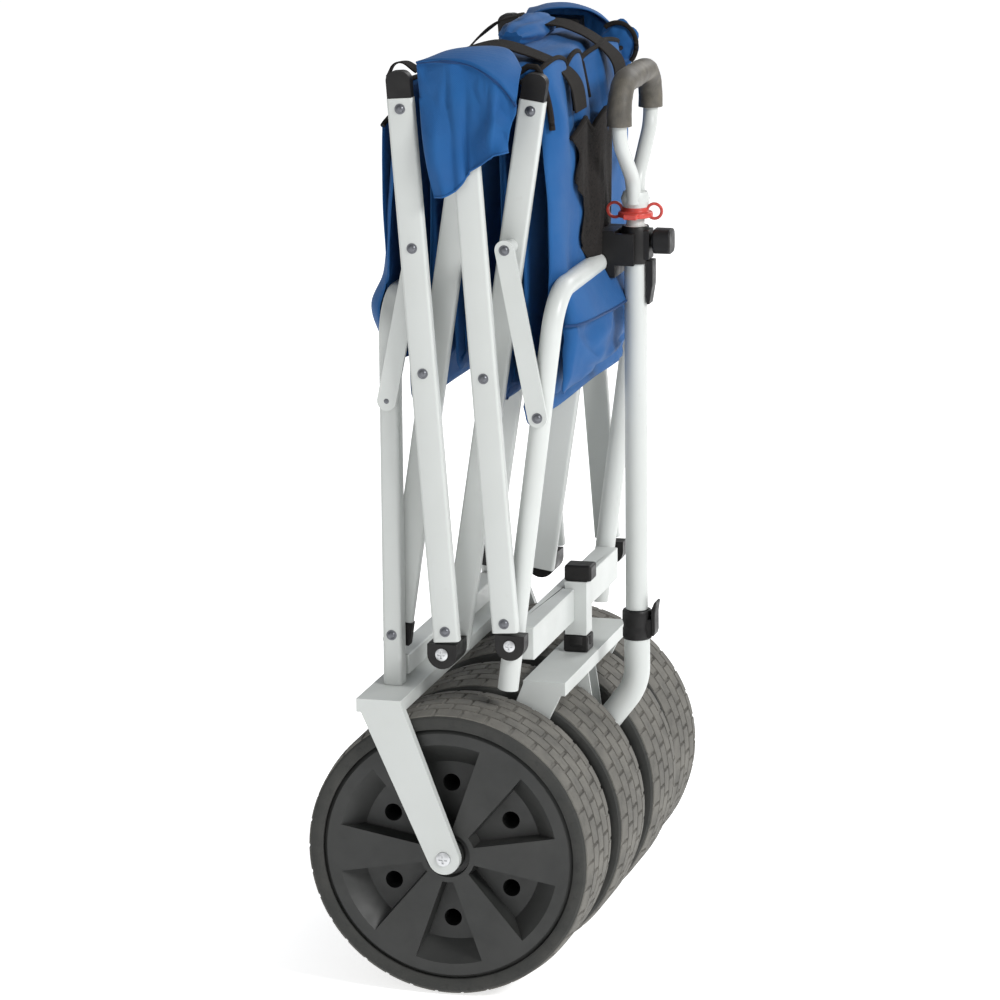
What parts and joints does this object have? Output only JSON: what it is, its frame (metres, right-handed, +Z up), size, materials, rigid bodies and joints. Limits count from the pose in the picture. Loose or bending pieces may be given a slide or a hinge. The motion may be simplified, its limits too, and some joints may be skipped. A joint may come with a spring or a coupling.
{
  "type": "folding wagon",
  "caption": "Folding utility wagon, folded flat and standing on its wheels, with wide tyres, a double scissor side frame, gathered fabric tub and telescoping pull handle.",
  "frame": {"origin": "on the ground, at the middle of the folded wagon's box", "axes": "+X is the way the wagon is pulled (the handle's side), +Y is its left, +Z is up"},
  "size_m": [0.2794, 0.446, 0.838],
  "materials": {
    "frame_paint": "satin powder coat",
    "black_plastic": "moulded nylon",
    "wheel_plastic": "moulded, fine texture",
    "tyre": "dusty rubber",
    "canvas": "coated polyester weave",
    "webbing": "woven webbing",
    "steel": "zinc plated",
    "red_plastic": "moulded",
    "grip_foam": "matt foam"
  },
  "bodies": {
    "rear_frame": {"rear_fork": "frame_paint", "rear_u_frame": "frame_paint", "rear_lower_rail": "frame_paint", "rear_axle_right": "steel", "rear_axle_left": "steel"},
    "rear_inner_bars": {"rear_inner_bar_right": "frame_paint", "rear_inner_bar_left": "frame_paint"},
    "rear_outer_bars": {"rear_outer_bar_right": "frame_paint", "rear_outer_bar_left": "frame_paint", "rear_corner_cap_right": "black_plastic", "rear_corner_cap_left": "black_plastic", "floor_bracket_right": "black_plastic", "floor_bracket_left": "black_plastic"},
    "top_hubs": {"top_hub_right": "black_plastic", "top_hub_left": "black_plastic", "side_flap_right": "canvas", "side_flap_left": "canvas"},
    "front_outer_bars": {"front_outer_bar_right": "frame_paint", "front_outer_bar_left": "frame_paint", "front_bracket_right": "black_plastic", "front_bracket_left": "black_plastic"},
    "front_inner_bars": {"front_inner_bar_right": "frame_paint", "front_inner_bar_left": "frame_paint", "front_corner_cap_right": "black_plastic", "front_corner_cap_left": "black_plastic"},
    "front_frame": {"front_u_frame": "frame_paint", "front_lower_rail": "frame_paint", "steering_post": "frame_paint", "steering_post_cap": "black_plastic", "handle_rest": "black_plastic"},
    "rear_links": {"rear_link_right": "frame_paint", "rear_link_left": "frame_paint"},
    "front_links": {"front_link_right": "frame_paint", "front_link_left": "frame_paint"},
    "canvas_rear": {"canvas_rear_wall": "canvas", "canvas_floor_and_sides": "canvas", "canopy_bundle": "canvas"},
    "canvas_front": {"canvas_front_wall": "canvas"},
    "steering": {"steering_fork": "frame_paint", "kingpin": "black_plastic", "front_axle_right": "steel", "front_axle_left": "steel"},
    "pull_handle": {"handle_lower_tube": "frame_paint", "clamp_collar": "black_plastic", "handle_main_tube": "frame_paint", "height_clamp": "black_plastic"},
    "clamp_lever": {"clamp_lever": "black_plastic"},
    "height_knob": {"height_knob": "black_plastic"},
    "handle_top": {"handle_yoke": "frame_paint", "grip": "grip_foam"},
    "release_collar": {"release_collar": "red_plastic"},
    "rear_wheel_right": {"rear_rim_right": "wheel_plastic", "rear_tyre_right": "tyre"},
    "rear_wheel_left": {"rear_rim_left": "wheel_plastic", "rear_tyre_left": "tyre"},
    "front_wheel_right": {"front_rim_right": "wheel_plastic", "front_tyre_right": "tyre"},
    "front_wheel_left": {"front_rim_left": "wheel_plastic", "front_tyre_left": "tyre"}
  },
  "joints": [
    {"name": "fold", "type": "hinge", "parent": "rear_frame", "child": "rear_inner_bars", "pos_m": [-0.07065, 0, 0.3109], "axis": [0, 1, 0], "range_deg": [0, 57.4]},
    {"name": "rear_bar_cross", "type": "hinge", "parent": "rear_inner_bars", "child": "rear_outer_bars", "pos_m": [-0.035, 0, 0.54662], "axis": [0, 1, 0], "range_deg": [-118.9, 0]},
    {"name": "top_hub_turn", "type": "hinge", "parent": "rear_inner_bars", "child": "top_hubs", "pos_m": [0.00065, 0, 0.78234], "axis": [0, 1, 0], "range_deg": [-57.7, 0]},
    {"name": "front_outer_bar_turn", "type": "hinge", "parent": "rear_inner_bars", "child": "front_outer_bars", "pos_m": [0.00065, 0, 0.78234], "axis": [0, 1, 0], "range_deg": [-118.9, 0]},
    {"name": "front_bar_cross", "type": "hinge", "parent": "front_outer_bars", "child": "front_inner_bars", "pos_m": [0.0184, 0, 0.5446], "axis": [0, 1, 0], "range_deg": [0, 118.9]},
    {"name": "front_frame_turn", "type": "hinge", "parent": "front_outer_bars", "child": "front_frame", "pos_m": [0.03615, 0, 0.30686], "axis": [0, 1, 0], "range_deg": [0, 61.5]},
    {"name": "rear_link_turn", "type": "hinge", "parent": "rear_frame", "child": "rear_links", "pos_m": [-0.07065, 0, 0.5189], "axis": [0, 1, 0], "range_deg": [0, 108.2]},
    {"name": "front_link_turn", "type": "hinge", "parent": "front_frame", "child": "front_links", "pos_m": [0.06255, 0, 0.51016], "axis": [0, 1, 0], "range_deg": [-102.06, 0]},
    {"name": "canvas_drop", "type": "slide", "parent": "rear_frame", "child": "canvas_rear", "axis": [0, 0, -1], "range_m": [0, 0.247]},
    {"name": "canvas_stretch", "type": "slide", "parent": "canvas_rear", "child": "canvas_front", "axis": [1, 0, 0], "range_m": [0, 0.68]},
    {"name": "steering", "type": "hinge", "parent": "front_frame", "child": "steering", "pos_m": [0.05295, 0, 0.262], "axis": [0, 0, 1], "range_deg": [-2.5, 2.5]},
    {"name": "handle_swing", "type": "hinge", "parent": "steering", "child": "pull_handle", "pos_m": [0.06395, 0, 0.178], "axis": [0, 1, 0], "range_deg": [0, 95]},
    {"name": "clamp_lever_flip", "type": "hinge", "parent": "pull_handle", "child": "clamp_lever", "pos_m": [0.12425, 0, 0.281], "axis": [0, 1, 0], "range_deg": [0, 70]},
    {"name": "height_knob_turn", "type": "hinge", "parent": "pull_handle", "child": "height_knob", "pos_m": [0.12065, 0, 0.635], "axis": [1, 0, 0], "range_deg": [0, 180]},
    {"name": "handle_extend", "type": "slide", "parent": "pull_handle", "child": "handle_top", "axis": [0, 0, 1], "range_m": [0, 0.2]},
    {"name": "release_press", "type": "slide", "parent": "handle_top", "child": "release_collar", "axis": [0, 0, -1], "range_m": [0, 0.005], "stiffness_N_per_m": 400},
    {"name": "rear_wheel_right_spin", "type": "hinge", "parent": "rear_frame", "child": "rear_wheel_right", "pos_m": [-0.01265, -0.1633, 0.127], "axis": [0, 1, 0], "continuous": true},
    {"name": "rear_wheel_left_spin", "type": "hinge", "parent": "rear_frame", "child": "rear_wheel_left", "pos_m": [-0.01265, 0.1633, 0.127], "axis": [0, 1, 0], "continuous": true},
    {"name": "front_wheel_right_spin", "type": "hinge", "parent": "steering", "child": "front_wheel_right", "pos_m": [-0.00745, -0.06, 0.127], "axis": [0, 1, 0], "continuous": true},
    {"name": "front_wheel_left_spin", "type": "hinge", "parent": "steering", "child": "front_wheel_left", "pos_m": [-0.00745, 0.06, 0.127], "axis": [0, 1, 0], "continuous": true}
  ],
  "couplings": [
    {"joint": "rear_bar_cross", "follows": "fold", "ratio": -2.0662},
    {"joint": "top_hub_turn", "follows": "fold", "ratio": -1},
    {"joint": "front_outer_bar_turn", "follows": "fold", "ratio": -2.0662},
    {"joint": "front_bar_cross", "follows": "fold", "ratio": 2.0662},
    {"joint": "front_frame_turn", "follows": "fold", "ratio": 1.0662},
    {"joint": "rear_link_turn", "follows": "fold", "ratio": 1.8798},
    {"joint": "front_link_turn", "follows": "fold", "ratio": -1.7728},
    {"joint": "canvas_drop", "follows": "fold", "m_per_rad": 0.24456},
    {"joint": "canvas_stretch", "follows": "fold", "m_per_rad": 0.67377}
  ]
}
